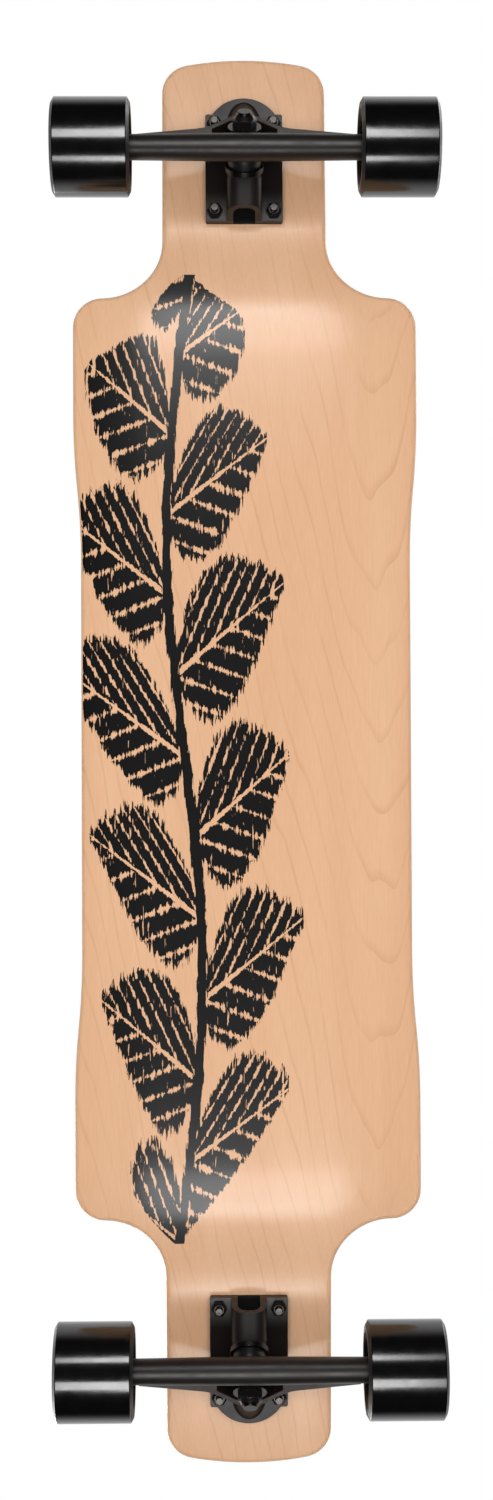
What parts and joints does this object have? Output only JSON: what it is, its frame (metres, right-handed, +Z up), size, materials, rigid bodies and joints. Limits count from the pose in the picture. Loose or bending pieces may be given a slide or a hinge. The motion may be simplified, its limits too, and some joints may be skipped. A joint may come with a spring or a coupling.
{
  "type": "longboard skateboard",
  "caption": "Long skateboard with a dropped, concave maple deck, wheel cut-outs, lean-to-steer trucks and soft wide wheels on ball bearings.",
  "frame": {"origin": "on the ground under the middle of the deck, where the wheels stand at z = 0", "axes": "+Z up, +Y from tail to nose, +X to the rider's right when facing the nose"},
  "size_m": [0.261, 0.99, 0.1138],
  "materials": {
    "maple_laminate": "clear lacquered maple with a printed underside",
    "grip_tape": "black abrasive grit on a polyester backing",
    "black_cast_aluminium": "satin black powder coat",
    "blackened_steel": "black oxide",
    "zinc_steel": "zinc plated",
    "bearing_steel": "ground and polished",
    "bushing_urethane": "cast polyurethane",
    "pivot_urethane": "cast polyurethane",
    "riser_rubber": "moulded rubber sheet",
    "wheel_urethane": "glossy cast polyurethane",
    "wheel_core_plastic": "moulded nylon",
    "cage_plastic": "moulded nylon"
  },
  "bodies": {
    "board": {"deck": "maple_laminate", "grip_tape": "grip_tape", "front_mounting_screws": "zinc_steel", "front_mounting_nuts": "blackened_steel", "front_riser_pad": "riser_rubber", "front_baseplate": "black_cast_aluminium", "front_pivot_cup": "pivot_urethane", "front_kingpin": "zinc_steel", "front_kingpin_nut": "blackened_steel", "front_boardside_washer": "blackened_steel", "front_boardside_bushing": "bushing_urethane", "front_roadside_bushing": "bushing_urethane", "front_roadside_washer": "blackened_steel", "rear_mounting_screws": "zinc_steel", "rear_mounting_nuts": "blackened_steel", "rear_riser_pad": "riser_rubber", "rear_baseplate": "black_cast_aluminium", "rear_pivot_cup": "pivot_urethane", "rear_kingpin": "zinc_steel", "rear_kingpin_nut": "blackened_steel", "rear_boardside_washer": "blackened_steel", "rear_boardside_bushing": "bushing_urethane", "rear_roadside_bushing": "bushing_urethane", "rear_roadside_washer": "blackened_steel"},
    "front_truck": {"front_hanger": "black_cast_aluminium", "front_axle": "zinc_steel", "front_axle_nuts": "blackened_steel", "front_speed_washers": "zinc_steel", "front_bearing_inner_rings": "bearing_steel", "front_bearing_spacers": "zinc_steel"},
    "front_left_wheel": {"front_left_tyre": "wheel_urethane", "front_left_core": "wheel_core_plastic", "front_left_bearing_outer_rings": "bearing_steel", "front_left_bearing_shields": "bearing_steel"},
    "front_left_ball_sets": {"front_left_bearing_balls": "bearing_steel", "front_left_bearing_cages": "cage_plastic"},
    "front_right_wheel": {"front_right_tyre": "wheel_urethane", "front_right_core": "wheel_core_plastic", "front_right_bearing_outer_rings": "bearing_steel", "front_right_bearing_shields": "bearing_steel"},
    "front_right_ball_sets": {"front_right_bearing_balls": "bearing_steel", "front_right_bearing_cages": "cage_plastic"},
    "rear_truck": {"rear_hanger": "black_cast_aluminium", "rear_axle": "zinc_steel", "rear_axle_nuts": "blackened_steel", "rear_speed_washers": "zinc_steel", "rear_bearing_inner_rings": "bearing_steel", "rear_bearing_spacers": "zinc_steel"},
    "rear_left_wheel": {"rear_left_tyre": "wheel_urethane", "rear_left_core": "wheel_core_plastic", "rear_left_bearing_outer_rings": "bearing_steel", "rear_left_bearing_shields": "bearing_steel"},
    "rear_left_ball_sets": {"rear_left_bearing_balls": "bearing_steel", "rear_left_bearing_cages": "cage_plastic"},
    "rear_right_wheel": {"rear_right_tyre": "wheel_urethane", "rear_right_core": "wheel_core_plastic", "rear_right_bearing_outer_rings": "bearing_steel", "rear_right_bearing_shields": "bearing_steel"},
    "rear_right_ball_sets": {"rear_right_bearing_balls": "bearing_steel", "rear_right_bearing_cages": "cage_plastic"}
  },
  "joints": [
    {"name": "front_steer", "type": "hinge", "parent": "board", "child": "front_truck", "pos_m": [0, 0.41974, 0.05981], "axis": [0, 0.6293, 0.7771], "range_deg": [-20, 20], "stiffness_Nm_per_rad": 60, "deforming": ["front_boardside_bushing", "front_roadside_bushing"]},
    {"name": "front_left_spin", "type": "hinge", "parent": "front_truck", "child": "front_left_wheel", "pos_m": [-0.104, 0.41153, 0.033], "axis": [1, 0, 0], "continuous": true},
    {"name": "front_left_balls_orbit", "type": "hinge", "parent": "front_truck", "child": "front_left_ball_sets", "pos_m": [-0.104, 0.41153, 0.033], "axis": [1, 0, 0], "continuous": true},
    {"name": "front_right_spin", "type": "hinge", "parent": "front_truck", "child": "front_right_wheel", "pos_m": [0.104, 0.41153, 0.033], "axis": [1, 0, 0], "continuous": true},
    {"name": "front_right_balls_orbit", "type": "hinge", "parent": "front_truck", "child": "front_right_ball_sets", "pos_m": [0.104, 0.41153, 0.033], "axis": [1, 0, 0], "continuous": true},
    {"name": "rear_steer", "type": "hinge", "parent": "board", "child": "rear_truck", "pos_m": [0, -0.41974, 0.05981], "axis": [0, 0.6293, -0.7771], "range_deg": [-20, 20], "stiffness_Nm_per_rad": 60, "deforming": ["rear_boardside_bushing", "rear_roadside_bushing"]},
    {"name": "rear_left_spin", "type": "hinge", "parent": "rear_truck", "child": "rear_left_wheel", "pos_m": [-0.104, -0.41153, 0.033], "axis": [1, 0, 0], "continuous": true},
    {"name": "rear_left_balls_orbit", "type": "hinge", "parent": "rear_truck", "child": "rear_left_ball_sets", "pos_m": [-0.104, -0.41153, 0.033], "axis": [1, 0, 0], "continuous": true},
    {"name": "rear_right_spin", "type": "hinge", "parent": "rear_truck", "child": "rear_right_wheel", "pos_m": [0.104, -0.41153, 0.033], "axis": [1, 0, 0], "continuous": true},
    {"name": "rear_right_balls_orbit", "type": "hinge", "parent": "rear_truck", "child": "rear_right_ball_sets", "pos_m": [0.104, -0.41153, 0.033], "axis": [1, 0, 0], "continuous": true}
  ],
  "couplings": [
    {"joint": "front_left_balls_orbit", "follows": "front_left_spin", "ratio": 0.6323},
    {"joint": "front_right_balls_orbit", "follows": "front_right_spin", "ratio": 0.6323},
    {"joint": "rear_left_balls_orbit", "follows": "rear_left_spin", "ratio": 0.6323},
    {"joint": "rear_right_balls_orbit", "follows": "rear_right_spin", "ratio": 0.6323}
  ]
}
